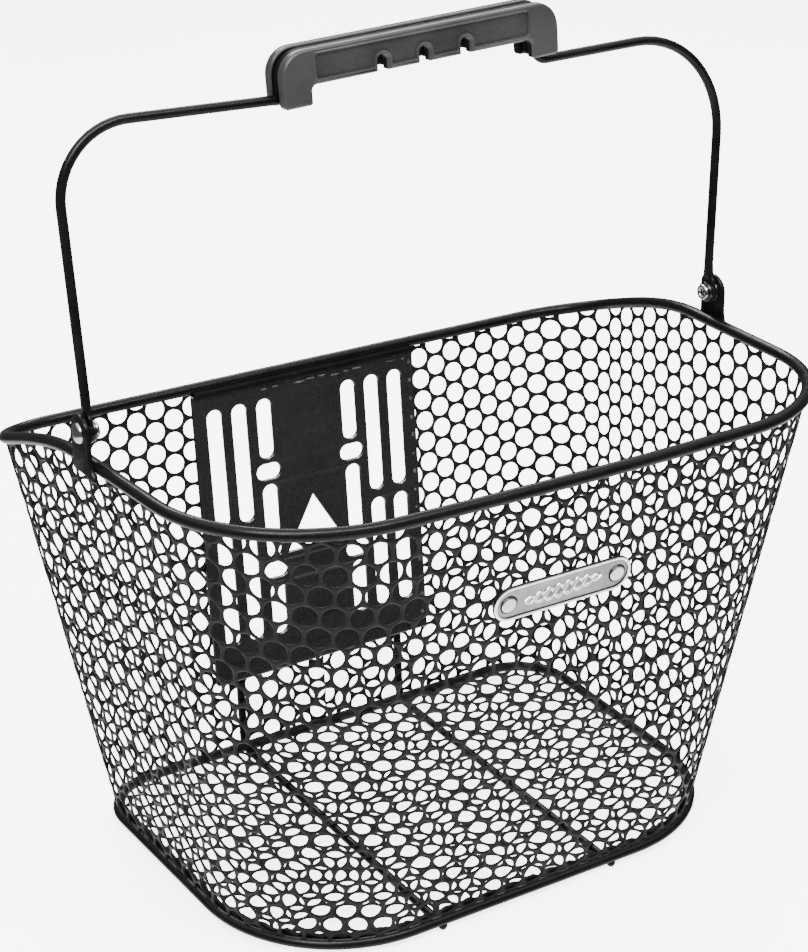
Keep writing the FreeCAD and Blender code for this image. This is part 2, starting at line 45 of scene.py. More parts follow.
# ---- sizes: heights are above the ground, those of the bail and grip above the pivot ---
RIM_D, RING_D, MESH_T = 5.5, 5.0, 1.0
RIM = dict(half_back=164.8, half_front=152.9, y_back=115.6, y_front=-115.6,
           r_back=32.0, r_front=68.8, bow=6.6)
RING = dict(half_back=128.3, half_front=124.8, y_back=99.0, y_front=-80.0,
            r_back=28.5, r_front=66.0, bow=0.0)
RIM_FRONT_Z, RIM_DIP, DIP_START_Y, DIP_END_Y = 218.1, 29.2, 14.9, 147.5
RING_Z = 4.6
BASE_MESH_Z = 4.6                       # middle of the base sheet
BASE_SAG = 0.4
# The folded hem: how far in from the ring's middle line and how high, from the outside in.
HEM_PROFILE = ((1.9, 0.3), (1.5, 1.9), (1.2, 3.1), (1.6, 3.8), (2.4, 4.1), (3.1, 3.7), (3.3, 2.2), (3.2, 0.5))

PITCH = 11.0                            # hole spacing of the mesh
HOLE_R = 4.76
# How forming stretched the wall sheet: across and up, in mm, for each term of sheet_terms().
SHEET_STRETCH = ((1.0, 65.9), (310.0, 7.2), (-1.8, 101.4), (1.6, -0.1), (-0.6, 1.2), (0.2, -29.5),
                 (-0.6, 12.0), (3.6, -1.9), (9.6, 46.0), (1.3, 28.8), (-3.5, -0.2))
BASE_TURN = 29.0                        # how the base sheet lies, in degrees
BASE_SHIFT = (0.4, 1.6)                 # and along and across its rows
STRAND_ROUND = 0.32                     # how far in from a hole's edge the strand is rounded
CELL_STEPS = 24
WALL_SPAN_Y = (-240, 200)               # the rows of holes laid before the wall is trimmed
BASE_SPAN = 200
LAP_TRIM = 0.8                          # the mesh is cut this much outside the plate's lap line

PLATE_HALF, PLATE_T, PLATE_LOW_Z, PLATE_TOP_Z, PLATE_LAP = 61.0, 2.0, 41.7, 190.2, 7.0
PLATE_STANDOFF = 0.15
SLOT_W, SLOT_X = 8.2, (49.9, 36.7, 23.3)
SLOT_TOP_Z, SLOT_MID_Z, SLOT_LOW_Z = 181.5, (122.0, 117.7), 60.3
OVAL_L, OVAL_Z, OVAL_GAP = 13.1, (144.9, 94.1), 2.5
TRI_APEX_Z, TRI_H, TRI_W = 128.3, 27.0, 32.0
SUPPORT_D, SUPPORT_X, SUPPORT_TOP_Z, SUPPORT_FRONT_Y = 4.0, 45.8, 53.7, -82.0
SUPPORT_BEND_R = 7.0

PIVOT = np.array([0.0, 5.8, 231.8])
BRACKET_IN_X, BRACKET_T, BRACKET_W, BRACKET_DROP = 161.7, 2.0, 15.6, 17.5
RIVET_D, SPACER_D, SPACER_T, WASHER_D, WASHER_T, GAP = 4.6, 10.4, 1.0, 9.4, 0.9, 0.05
DOME_R, DOME_H, ROLL_R, ROLL_D = 4.5, 2.2, 2.75, 1.05
EYE_T, EYE_W = 2.2, 10.2
EYE_OUT_X = BRACKET_IN_X - SPACER_T - GAP
EYE_IN_X = EYE_OUT_X - EYE_T
EYE_MID_X = (EYE_OUT_X + EYE_IN_X) / 2
WASHER_OUT_X = EYE_IN_X - GAP
BAIL_D, BAIL_LEAN, BAIL_H, BAIL_SPLAY, BAIL_DROP = 4.2, 1.8, 124.3, 0.0423, 2.7
BAIL_R_LEFT, BAIL_R_RIGHT, EYE_TAPER = 30.0, 46.0, 14.0
# The taper from the flat eye to the round wire: height, half width along x, half width along y.
EYE_STEPS = ((3.5, 1.1, 4.85), (5.6, 1.12, 4.5), (6.5, 1.2, 4.1), (7.2, 1.35, 3.3), (8.4, 1.5, 2.95),
             (10.5, 1.8, 2.55), (12.5, 2.0, 2.25), (EYE_TAPER + 0.5, 2.1, 2.1))
WIRE_UP_X, WIRE_UP_R, WIRE_CORE_H = 60.3, 6.0, 140.3

GRIP_T, GRIP_HALF, GRIP_TOP_H, GRIP_BAR_H, GRIP_FOOT_H = 16.4, 67.4, 144.8, 129.7, 121.6
GRIP_FOOT_IN, GRIP_R_TOP, GRIP_SKEW, GRIP_MID_H = 53.9, 11.0, 2.8, 133.3
FLANGE_T, FLANGE_INSET = 6.0, 1.3
NOTCH_X, NOTCH_R, NOTCH_TOP_H = (-20.3, 0.0, 20.3), 2.3, 136.5
PANEL_HALF, PANEL_TOP_H, PANEL_LOW_H, PANEL_RECESS = 52.0, 142.4, 132.0, 1.0
LIP_R = 4.1                             # radius of the raised lip round each notch
SHADED_STEPS = 4                    # side-wall steps of a shell, counted from the core, that carry painted shade where they face the hollow below
SCREW_X, SCREW_H, SCREW_R = (-43.0, -10.2, 43.0), 134.7, 1.9

BADGE_X, BADGE_Z, BADGE_L, BADGE_H, BADGE_T = -5.5, 167.7, 68.4, 16.5, 1.4
BADGE_STANDOFF, BADGE_SUNK = 0.6, 0.6   # from the mesh to the badge, and from its border down to its field
BADGE_RIVET_PITCH, BADGE_RIVET_D = 54.0, 7.0
TWIST_HALF, TWIST_H, TWIST_PITCH, TWIST_R = 19, 3.1, 9.5, 0.72

# ---- camera and studio, in metres and degrees ---------------------------------------
CAMERA_AT = (-0.48501, -0.76363, 0.5669)
CAMERA_YAW, CAMERA_PITCH, CAMERA_ROLL = 31.68, 23.34, -0.59
CAMERA_LENS = 83.68
FLOOR_GLOW, FLOOR_HALF, FLOOR_CELLS = 4.0, 9, 12    # the floor is a lit white table
WALL_GLOW = 3.5
SOFTBOXES = (("key_softbox", (-1.3, -1.0, 1.7), (1.0, 1.0), 50),
             ("strip_softbox", (-0.3, -0.9, 1.9), (2.4, 0.14), 90),
             ("rear_softbox", (0.6, 1.5, 1.6), (1.6, 0.3), 40))
LIGHTS_AIM = (0, 0, 0.15)


# ---- materials ----------------------------------------------------------------------
def new_material(name):
    mat = bpy.data.materials.new(name)
    mat.use_nodes = True
    tree = mat.node_tree
    tree.nodes.clear()
    out = tree.nodes.new("ShaderNodeOutputMaterial")
    shader = tree.nodes.new("ShaderNodeBsdfPrincipled")
    tree.links.new(shader.outputs[0], out.inputs[0])
    coords = tree.nodes.new("ShaderNodeTexCoord")
    return mat, tree, shader, coords.outputs["Object"]


def noise_node(tree, coords, scale, detail=4.0, rough=0.55):
    node = tree.nodes.new("ShaderNodeTexNoise")
    node.inputs["Scale"].default_value = scale
    node.inputs["Detail"].default_value = detail
    node.inputs["Roughness"].default_value = rough
    tree.links.new(coords, node.inputs["Vector"])
    return node.outputs[0]


def ramp(tree, value, low, high, start=0.35, end=0.65):
    """Maps a noise value onto a range."""
    node = tree.nodes.new("ShaderNodeMapRange")
    node.inputs["From Min"].default_value = start
    node.inputs["From Max"].default_value = end
    node.inputs["To Min"].default_value = low
    node.inputs["To Max"].default_value = high
    tree.links.new(value, node.inputs["Value"])
    return node.outputs[0]


def mix_color(tree, factor, a, b):
    node = tree.nodes.new("ShaderNodeMix")
    node.data_type = "RGBA"
    node.inputs[6].default_value = (*a, 1)
    node.inputs[7].default_value = (*b, 1)
    tree.links.new(factor, node.inputs[0])
    return node.outputs[2]


def add_bump(tree, shader, height, distance, strength=1.0):
    node = tree.nodes.new("ShaderNodeBump")
    node.inputs["Strength"].default_value = strength
    node.inputs["Distance"].default_value = distance * MM
    tree.links.new(height, node.inputs["Height"])
    tree.links.new(node.outputs[0], shader.inputs["Normal"])


def coated(name, dark, light, rough, peel=0.02, peel_scale=350, metallic=0.0, specular=0.5):
    """Painted, plated or moulded finish: cloudy tone, uneven gloss and orange peel."""
    mat, tree, shader, coords = new_material(name)
    cloud = noise_node(tree, coords, 35)
    fine = noise_node(tree, coords, 420, 6)
    tone = mix_color(tree, ramp(tree, cloud, 0, 1), dark, light)
    tree.links.new(tone, shader.inputs["Base Color"])
    tree.links.new(ramp(tree, fine, rough[0], rough[1]), shader.inputs["Roughness"])
    shader.inputs["Metallic"].default_value = metallic
    shader.inputs["Specular IOR Level"].default_value = specular
    if peel:
        add_bump(tree, shader, noise_node(tree, coords, peel_scale, 3), peel)
    return mat


def leather_grain(name):
    """Fine pebbled grain moulded into the grip's panel."""
    mat = coated(name, (0.008, 0.008, 0.008), (0.014, 0.014, 0.014), (0.40, 0.55), peel=0, specular=0.2)
    tree = mat.node_tree
    shader = tree.nodes["Principled BSDF"]
    coords = tree.nodes["Texture Coordinate"].outputs["Object"]
    cells = tree.nodes.new("ShaderNodeTexVoronoi")
    cells.inputs["Scale"].default_value = 1100
    tree.links.new(coords, cells.inputs["Vector"])
    add_bump(tree, shader, cells.outputs["Distance"], 0.25, 0.9)
    return mat


def brushed(name, dark, light, rough, stretch):
    """Plated or cast bright metal with fine lines along one axis."""
    mat = coated(name, dark, light, rough, peel=0, metallic=1.0)
    tree = mat.node_tree
    shader = tree.nodes["Principled BSDF"]
    coords = tree.nodes["Texture Coordinate"].outputs["Object"]
    mapping = tree.nodes.new("ShaderNodeMapping")
    mapping.inputs["Scale"].default_value = stretch
    tree.links.new(coords, mapping.inputs["Vector"])
    add_bump(tree, shader, noise_node(tree, mapping.outputs[0], 900, 2), 0.012, 0.6)
    return mat


RIM_PAINT = coated("rim_gloss_black", (0.0015, 0.0015, 0.0015), (0.003, 0.003, 0.003),
                   (0.20, 0.32), specular=0.10, peel=0.03)
MESH_PAINT = coated("mesh_satin_black", (0.003, 0.003, 0.003), (0.006, 0.006, 0.006),
                    (0.36, 0.50), specular=0.06, peel=0.05, peel_scale=500)
PLATE_PAINT = coated("plate_gloss_black", (0.004, 0.004, 0.004), (0.006, 0.006, 0.006),
                     (0.07, 0.12), specular=0.9, peel=0.005, peel_scale=160)
BAIL_PAINT = coated("bail_gloss_black", (0.0012, 0.0012, 0.0012), (0.003, 0.003, 0.003),
                    (0.20, 0.30), specular=0.12, peel=0.03)
GRIP_PLASTIC = coated("grip_satin_black", (0.013, 0.013, 0.013), (0.019, 0.019, 0.019),
                      (0.30, 0.33), specular=0.3, peel=0.0015)
# Near-black core plastic; the shells' walls that face the hollow below also take it as painted shade.
CORE_AND_SHADE_PLASTIC = coated("grip_core_black", (0.001, 0.001, 0.001), (0.002, 0.002, 0.002),
                      (0.45, 0.6), specular=0.05, peel=0.02)
PANEL_PLASTIC = leather_grain("grip_panel_grain")
ZINC = brushed("bright_zinc", (0.30, 0.30, 0.31), (0.42, 0.42, 0.43), (0.08, 0.16), (1, 3, 3))
DULL_ZINC = brushed("dull_zinc", (0.05, 0.05, 0.052), (0.12, 0.12, 0.124), (0.2, 0.3), (1, 3, 3))
BADGE_METAL = brushed("badge_polished", (0.86, 0.86, 0.87), (0.95, 0.95, 0.96),
                      (0.24, 0.34), (0.3, 4, 4))
BADGE_FIELD = brushed("badge_field", (0.20, 0.20, 0.206), (0.34, 0.34, 0.348),
                      (0.34, 0.48), (0.2, 4, 4))
BADGE_RIVET = brushed("badge_rivet_bright", (0.52, 0.52, 0.53), (0.68, 0.68, 0.69),
                      (0.22, 0.32), (2, 2, 2))
SEAM_PAINT = coated("seam_satin_black", (0.001, 0.001, 0.001), (0.003, 0.003, 0.003), (0.35, 0.5),
                    specular=0.03, peel=0.1)
WELD = coated("weld_speck", (0.008, 0.008, 0.008), (0.05, 0.05, 0.05),
              (0.2, 0.35), specular=0.3, peel=0.1)
# Near-black painted shade for the badge: its side wall, the step down to its field and a disc round each
# rivet head.
BADGE_PAINTED_SHADE = coated("badge_shadow_edge", (0.003, 0.003, 0.003), (0.008, 0.008, 0.008),
                  (0.4, 0.6), specular=0.05)


# ---- mesh building ------------------------------------------------------------------
class Build:
    """Collects rings, lofts and caps, then makes one object from them."""

    def __init__(self, put=None):
        self.verts, self.faces, self.mats, self.smooth, self.count = [], [], [], [], 0
        self.put = put or (lambda p: p)

    def add(self, points, faces, mat=0, smooth=True):
        points = np.asarray(points, float).reshape(-1, 3)
        self.verts.append(self.put(points))
        self.faces += [tuple(int(i) + self.count for i in f) for f in faces]
        self.mats += [mat] * len(faces)
        self.smooth += [smooth] * len(faces)
        self.count += len(points)

    def loft(self, rings, mat=0, closed=False):
        """Quads between rings with the same number of points."""
        n = len(rings[0])
        m = len(rings)
        faces = []
        for j in range(m if closed else m - 1):
            a, b = j * n, (j + 1) % m * n
            faces += [(a + i, a + (i + 1) % n, b + (i + 1) % n, b + i) for i in range(n)]
        self.add(np.concatenate(rings), faces, mat)

    def cap(self, polygons, depth, mat=0):
        """Fills the first polygon less the others, at a depth."""
        loops = [[Vector((x, y, 0)) for x, y in p] for p in polygons]
        flat = [(v.x, v.y, depth) for loop in loops for v in loop]
        self.add(flat, tessellate_polygon(loops), mat, smooth=False)

    def make(self, name, body, materials, replaces, sharp=38.0):
        verts = np.concatenate(self.verts) * MM
        mesh = bpy.data.meshes.new(name)
        mesh.from_pydata(verts.tolist(), [], self.faces)
        for material in materials if isinstance(materials, (list, tuple)) else [materials]:
            mesh.materials.append(material)
        mesh.polygons.foreach_set("material_index", self.mats)
        mesh.polygons.foreach_set("use_smooth", self.smooth)
        obj = bpy.data.objects.new(name, mesh)
        bpy.context.scene.collection.objects.link(obj)
        weld_and_orient(mesh)
        mesh.set_sharp_from_angle(angle=math.radians(sharp))
        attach(obj, body)
        if replaces:
            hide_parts(*replaces)


def weld_and_orient(mesh):
    """Joins doubled points and turns every face outwards."""
    work = bmesh.new()
    work.from_mesh(mesh)
    bmesh.ops.remove_doubles(work, verts=work.verts, dist=1e-6)
    bmesh.ops.recalc_face_normals(work, faces=work.faces)
    work.to_mesh(mesh)
    work.free()


def unit(v):
    return v / np.linalg.norm(v, axis=-1, keepdims=True)


def fillet(points, radii, steps=14):
    """A run of points through the corners with an arc of each radius."""
    points = [np.array(p, float) for p in points]
    run = [points[0]]
    for i, r in enumerate(radii, 1):
        p = points[i]
        a, b = unit(points[i - 1] - p), unit(points[i + 1] - p)
        half = math.acos(np.clip(a @ b, -1, 1)) / 2
        reach = r / math.tan(half)
        centre = p + unit(a + b) * (r / math.sin(half))
        first, last = p + a * reach - centre, p + b * reach - centre
        turn = math.pi - 2 * half
        for k in range(steps + 1):
            t = k / steps
            swept = math.sin((1 - t) * turn) * first + math.sin(t * turn) * last
            run.append(centre + swept / math.sin(turn))
    run.append(points[-1])
    return np.array(run)


def resample(path, step):
    """Points along a run no further apart than step, keeping the given ones."""
    out = []
    for a, b in zip(path, path[1:]):
        n = max(1, int(np.linalg.norm(b - a) / step))
        out += [a + (b - a) * k / n for k in range(n)]
    out.append(path[-1])
    return np.array(out)


def tube_rings(path, radius, up, closed=False, sides=20, wobble=0.0):
    """Round rings along a path; up is never parallel to it."""
    n = len(path)
    ahead = np.roll(path, -1, 0) if closed else np.vstack([path[1:], path[-1:]])
    behind = np.roll(path, 1, 0) if closed else np.vstack([path[:1], path[:-1]])
    along = unit(ahead - behind)
    across = unit(np.cross(np.broadcast_to(np.array(up, float), along.shape), along))
    over = np.cross(along, across)
    radius = np.broadcast_to(np.array(radius, float), (n,))
    rings = []
    for i in range(n):
        r = radius[i]
        if wobble:
            r *= 1 + wobble * noise.noise(Vector(path[i] * 0.09))
        turn = np.arange(sides) * 2 * math.pi / sides
        rings.append(path[i] + r * (np.outer(np.cos(turn), across[i]) + np.outer(np.sin(turn), over[i])))
    return rings


def round_ends(path, radius, up, sides=20):
    """Rings of an open bar with domed ends."""
    first, last = unit(path[0] - path[1]), unit(path[-1] - path[-2])
    lead = [path[0] + first * radius * math.sin(a) * 0.6 for a in (1.5, 1.2, 0.8, 0.4)]
    tail = [path[-1] + last * radius * math.sin(a) * 0.6 for a in (0.4, 0.8, 1.2, 1.5)]
    sizes = [radius * math.cos(a) for a in (1.5, 1.2, 0.8, 0.4)]
    whole = np.array(lead + list(path) + tail)
    radii = np.array(sizes + [radius] * len(path) + sizes[::-1])
    return tube_rings(whole, radii, up, sides=sides)


def inset(polygon, distance):
    """A closed outline moved towards its left-hand side, which is where the material is."""
    p = np.asarray(polygon, float)
    edge = unit(np.roll(p, -1, 0) - p)
    normal = np.column_stack([-edge[:, 1], edge[:, 0]])
    before = np.roll(normal, 1, 0)
    share = 1 + np.sum(before * normal, 1, keepdims=True)
    return p + (before + normal) / np.maximum(share, 0.35) * distance


def slab(build, outline, profile, holes=(), mat=0, caps=(True, True)):
    """Extrudes an outline through (inset, depth) steps; holes run clockwise and get the same steps."""
    for loop in (outline, *holes):
        rings = [np.column_stack([inset(loop, d), np.full(len(loop), z)]) for d, z in profile]
        build.loft(rings, mat)
    for wanted, (d, z) in zip(caps, (profile[0], profile[-1])):
        if wanted:
            build.cap([inset(outline, d)] + [inset(h, d) for h in holes], z, mat)


def rounded(depth_from, depth_to, r):
    """Profile of a slab whose edges are rounded."""
    steps = [(r * (1 - math.sin(a)), r * (1 - math.cos(a))) for a in (0, 0.52, 1.05, math.pi / 2)]
    sign = 1 if depth_to > depth_from else -1
    return [(d, depth_from + sign * z) for d, z in steps] + \
           [(d, depth_to - sign * z) for d, z in reversed(steps)]


def arc(cx, cy, r, start, end, steps):
    a = np.radians(np.linspace(start, end, steps + 1))
    return list(zip(cx + r * np.cos(a), cy + r * np.sin(a)))


def lathe(build, profile, sides=40, at=(0.0, 0.0)):
    """Turns (depth, radius) steps about an axis along the third one."""
    turn = np.arange(sides) * 2 * math.pi / sides
    build.loft([np.column_stack([at[0] + r * np.cos(turn), at[1] + r * np.sin(turn), np.full(sides, z)])
                for z, r in profile])


# ---- basket outlines ----------------------------------------------------------------
def corner(cx, cy, radius, start, sweep, steps=24):
    return arc(cx, cy, radius, start, start + sweep, steps)


def half_outline(half_back, half_front, y_back, y_front, r_back, r_front, bow, straight=10, side=16):
    """Right half of a tapered, round-cornered outline, from the back middle to the front middle."""
    lean = math.atan2(half_back - half_front, y_back - y_front)

    def centre(r, y):
        x = half_front + (half_back - half_front) * (y - y_front) / (y_back - y_front)
        return x - r / math.cos(lean), y

    degrees = math.degrees(lean)
    back = corner(*centre(r_back, y_back - r_back), r_back, 90, -90 - degrees)
    front = corner(*centre(r_front, y_front + r_front), r_front, -degrees, degrees - 90)
    points = [(back[0][0] * i / straight, y_back) for i in range(straight)] + back
    a, b = np.array(back[-1]), np.array(front[0])
    points += [tuple(a + (b - a) * i / side) for i in range(1, side)] + front
    points += [(front[-1][0] * (1 - i / straight), y_front) for i in range(1, straight + 1)]
    points = np.array(points)
    t = np.clip(2 * (y_back - points[:, 1]) / (y_back - y_front) - 1, 0, 1)
    points[:, 1] += bow * t * t * (points[:, 0] / half_front) ** 2
    return points


def rim_z(y):
    t = np.clip((y - DIP_START_Y) / (DIP_END_Y - DIP_START_Y), 0, 1)
    return RIM_FRONT_Z - RIM_DIP * t * t * (3 - 2 * t)


def whole(half):
    mirrored = half[-2:0:-1] * [-1, 1]
    return np.vstack([half, mirrored])


def with_z(points, z):
    return np.column_stack([points, np.broadcast_to(z, len(points))])


RIM_HALF, RING_HALF = half_outline(**RIM), half_outline(**RING)
RIM_LOOP = with_z(whole(RIM_HALF), rim_z(whole(RIM_HALF)[:, 1]))
RING_LOOP = with_z(whole(RING_HALF), RING_Z)
BACK_RISE = rim_z(RIM["y_back"]) - RING_Z
BACK_SLOPE = (RIM["y_back"] - RING["y_back"]) / BACK_RISE
BACK_COS = math.cos(math.atan(BACK_SLOPE))
FRONT_SLOPE = (RING["y_front"] - RIM["y_front"]) / (RIM_FRONT_Z - RING_Z)
FRONT_TILT = math.atan(FRONT_SLOPE)


def wall_back_y(z):
    return RING["y_back"] + (z - RING_Z) * BACK_SLOPE


# ---- the mesh sheet -----------------------------------------------------------------
def meet(a, ra, b, rb):
    """The point at two distances from two points, on the right of the line from a to b."""
    d = np.linalg.norm(b - a)
    along = (ra * ra - rb * rb + d * d) / (2 * d)
    off = math.sqrt(max(ra * ra - along * along, 0))
    e = (b - a) / d
    return a + e * along + np.array([e[1], -e[0]]) * off


class WallStrip:
    """The right half of the wall laid flat, from the front middle to the back middle."""

    def __init__(self):
        self.low = with_z(RING_HALF[::-1], RING_Z)
        self.top = with_z(RIM_HALF[::-1], rim_z(RIM_HALF[::-1][:, 1]))
        low, top = self.low, self.top
        self.low2 = [np.zeros(2)]
        self.top2 = [np.array([0, np.linalg.norm(top[0] - low[0])])]
        for i in range(len(low) - 1):
            a, b = self.low2[-1], self.top2[-1]
            c = meet(a, np.linalg.norm(low[i + 1] - low[i]), b, np.linalg.norm(low[i + 1] - top[i]))
            self.low2.append(c)
            rise, run = top[i + 1] - low[i + 1], top[i + 1] - top[i]
            self.top2.append(meet(c, np.linalg.norm(rise), b, np.linalg.norm(run)))
        self.low2, self.top2 = np.array(self.low2), np.array(self.top2)
        self.normals = self.outward()

    def outward(self):
        """Unit normals of the wall, one at each station round it."""
        run = np.gradient(self.low, axis=0) + np.gradient(self.top, axis=0)
        run[0], run[-1] = (1, 0, 0), (-1, 0, 0)
        return unit(np.cross(run, self.top - self.low))

    def place(self, flat, depth):
        """3-D points for flat ones, with how far up the wall each is and whether it is past the seam."""
        left = flat[:, 0] < 0
        p = np.column_stack([np.abs(flat[:, 0]), flat[:, 1]])
        e = unit(self.top2 - self.low2)
        rel = p[:, None, :] - self.low2[None]
        side = rel[:, :, 0] * e[None, :, 1] - rel[:, :, 1] * e[None, :, 0]
        count = len(self.low2)
        i = np.clip((side >= 0).sum(1) - 1, 0, count - 2)
        rows = np.arange(len(p))
        d0, d1 = side[rows, i], side[rows, i + 1]
        s = np.clip(d0 / (d0 - d1 + 1e-9), 0, 1)[:, None]
        past = side[:, -1] > 0
        low2 = self.low2[i] * (1 - s) + self.low2[i + 1] * s
        top2 = self.top2[i] * (1 - s) + self.top2[i + 1] * s
        rise = top2 - low2
        t = np.sum((p - low2) * rise, 1) / np.sum(rise * rise, 1)
        held = np.clip(t, 0, 1)[:, None]
        low = self.low[i] * (1 - s) + self.low[i + 1] * s
        top = self.top[i] * (1 - s) + self.top[i + 1] * s
        normal = unit(self.normals[i] * (1 - s) + self.normals[i + 1] * s)
        out = low * (1 - held) + top * held + normal * depth[:, None]
        out[left, 0] *= -1
        return out, t, past


def sheet_terms(q):
    """Smooth terms of a point on the unstretched sheet; the two halves were wrapped separately."""
    u, v = q[:, 0] / 300, q[:, 1] / 100
    right, left = np.maximum(u, 0), np.minimum(u, 0)
    return np.column_stack([np.ones(len(u)), u, v, u * v, v * v, right ** 2, right ** 3, right ** 2 * v,
                            left ** 2, left ** 3, left ** 2 * v])


def cell_template():
    """One hexagonal cell round a hole: flat offsets, depths and quads, with rounded strand edges."""
    turn = np.arange(CELL_STEPS) * 2 * math.pi / CELL_STEPS
    fold = (turn + math.pi / 6) % (math.pi / 3) - math.pi / 6
    edge = PITCH / 2 / np.cos(fold)
    near = HOLE_R + np.minimum(STRAND_ROUND, 0.5 * (edge - HOLE_R))
    hole = np.full(CELL_STEPS, HOLE_R)
    t = MESH_T / 2
    rings = [(edge, t), (near, t * 0.86), (hole, t * 0.3), (hole, -t * 0.3), (near, -t * 0.86), (edge, -t)]
    flat = np.vstack([np.column_stack([r * np.cos(turn), r * np.sin(turn)]) for r, _ in rings])
    depth = np.concatenate([np.full(CELL_STEPS, z) for _, z in rings])
    quads = []
    for j in range(len(rings) - 1):
        for i in range(CELL_STEPS):
            k = (i + 1) % CELL_STEPS
            here, after = j * CELL_STEPS, (j + 1) * CELL_STEPS
            quads.append((here + i, here + k, after + k, after + i))
    return flat, depth, np.array(quads)


def lattice(low, high, phase):
    """Hole centres over a rectangle, in rows along the first axis."""
    rise = PITCH * math.sqrt(3) / 2
    centres = []
    for j in range(int((low[1] - phase[1]) / rise) - 1, int((high[1] - phase[1]) / rise) + 2):
        shift = phase[0] + PITCH / 2 * (j % 2)
        for i in range(int((low[0] - shift) / PITCH) - 1, int((high[0] - shift) / PITCH) + 2):
            centres.append((shift + i * PITCH, phase[1] + j * rise))
    return np.array(centres)


def sheet_object(name, points, faces, node):
    """A sheet of cells: joins the cells' shared edges; the faces already point outwards."""
    used, index = np.unique(faces, return_inverse=True)
    mesh = bpy.data.meshes.new(name)
    mesh.from_pydata((points[used] * MM).tolist(), [], index.reshape(-1, 4).tolist())
    mesh.materials.append(MESH_PAINT)
    obj = bpy.data.objects.new(name, mesh)
    bpy.context.scene.collection.objects.link(obj)
    work = bmesh.new()
    work.from_mesh(mesh)
    bmesh.ops.remove_doubles(work, verts=work.verts, dist=2e-6)
    bmesh.ops.dissolve_degenerate(work, edges=work.edges, dist=1e-6)
    work.to_mesh(mesh)
    work.free()
    mesh.shade_smooth()
    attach(obj, "basket")
    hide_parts(node)


def wall_mesh():
    """The stretched sheet wrapped round the wall, trimmed at the rim, the ring, the seam and the plate."""
    strip = WallStrip()
    cell, depth, quads = cell_template()
    span = max(strip.low2[:, 0].max(), strip.top2[:, 0].max()) + 4 * PITCH
    centres = lattice((-span, WALL_SPAN_Y[0]), (span, WALL_SPAN_Y[1]), (0, 0))
    flat = (centres[:, None, :] + cell[None]).reshape(-1, 2)
    flat = sheet_terms(flat) @ np.array(SHEET_STRETCH)
    depths = np.tile(depth, len(centres))
    points, t, past = strip.place(flat, depths)
    window = PLATE_HALF - PLATE_LAP + LAP_TRIM
    foot = PLATE_LOW_Z + PLATE_LAP
    behind = points[:, 1] > RING["y_back"] / 2
    inside = (np.abs(points[:, 0]) < window) & (points[:, 2] > foot) & behind
    sideways = inside & (window - np.abs(points[:, 0]) < points[:, 2] - foot)
    down = inside & ~sideways
    points[sideways, 0] = np.sign(points[sideways, 0]) * window
    points[down, 1] -= (points[down, 2] - foot) * BACK_SLOPE
    points[down, 2] = foot
    n = len(cell)
    faces = (np.arange(len(centres))[:, None, None] * n + quads[None]).reshape(-1, 4)
    state = np.select([t <= 0, t >= 1, past, sideways, down], [1, 2, 3, 4, 5], 0)
    kept = (state[faces] == 0).any(1)
    sheet_object("wall_mesh_sheet", points, faces[kept], "wall_mesh")


def hold_inside(points, loop):
    """Moves points that are outside a closed outline onto it; returns which were moved."""
    a, b = loop, np.roll(loop, -1, 0)
    edge = b - a
    x, y = points[:, 0:1], points[:, 1:2]
    crosses = (a[:, 1] > y) != (b[:, 1] > y)
    at = a[:, 0] + (y - a[:, 1]) * edge[:, 0] / np.where(np.abs(edge[:, 1]) < 1e-9, 1e-9, edge[:, 1])
    outside = (crosses & (x < at)).sum(1) % 2 == 0
    far = points[outside]
    t = np.clip(((far[:, None] - a) * edge).sum(2) / (edge * edge).sum(1), 0, 1)
    near = a + edge * t[:, :, None]
    best = np.argmin(((far[:, None] - near) ** 2).sum(2), 1)
    moved = points.copy()
    moved[outside] = near[np.arange(len(far)), best]
    return moved, outside


def base_mesh():
    """The flat sheet inside the base ring, with a slight sag."""
    cell, depth, quads = cell_template()
    loop = inset(whole(RING_HALF)[::-1], 1.0)
    centres = lattice((-BASE_SPAN, -BASE_SPAN), (BASE_SPAN, BASE_SPAN), BASE_SHIFT)
    flat = (centres[:, None, :] + cell[None]).reshape(-1, 2)
    c, s = math.cos(math.radians(BASE_TURN)), math.sin(math.radians(BASE_TURN))
    flat = flat @ np.array([[c, s], [-s, c]])
    near = (np.abs(flat.reshape(len(centres), -1, 2).mean(1)) < np.abs(loop).max(0) + PITCH).all(1)
    centres, flat = centres[near], flat.reshape(len(centres), -1, 2)[near].reshape(-1, 2)
    moved, outside = hold_inside(flat, loop)
    sag = np.array([noise.noise(Vector((x * 0.02, y * 0.02, 0))) for x, y in moved]) * BASE_SAG
    points = np.column_stack([moved, BASE_MESH_Z + np.tile(depth, len(centres)) + sag])
    faces = (np.arange(len(centres))[:, None, None] * len(cell) + quads[None]).reshape(-1, 4)
    sheet_object("base_mesh_sheet", points, faces[~outside[faces].all(1)], "base_mesh")


def base_hem():
    """The sheet's margin folded up inside the ring: a band with a scalloped, lumpy edge."""
    loop = resample(np.vstack([RING_LOOP, RING_LOOP[:1]]), 1.4)[:-1]
    along = unit(np.roll(loop, -1, 0) - np.roll(loop, 1, 0))
    inward = np.column_stack([along[:, 1], -along[:, 0], np.zeros(len(loop))])
    inward *= -np.sign(np.sum(inward * (loop - [0, 10, 0]), 1, keepdims=True))
    run = np.concatenate([[0], np.cumsum(np.linalg.norm(np.diff(loop, axis=0), axis=1))])
    build = Build()
    rings = []
    for k, point in enumerate(loop):
        scallop = abs(math.sin(math.pi * run[k] / PITCH))
        ring = []
        for m, (inwards, rise) in enumerate(HEM_PROFILE):
            lump = noise.noise(Vector(point * 0.35) + Vector((m * 1.7, 0, 0)))
            high = rise * (0.74 + 0.34 * scallop + 0.16 * lump)
            ring.append(point + inward[k] * (inwards + 0.45 * lump) + np.array([0, 0, high]))
        rings.append(np.array(ring))
    build.loft(rings, closed=True)
    build.make("base_hem_fold", "basket", MESH_PAINT, ("base_hem",), sharp=60)


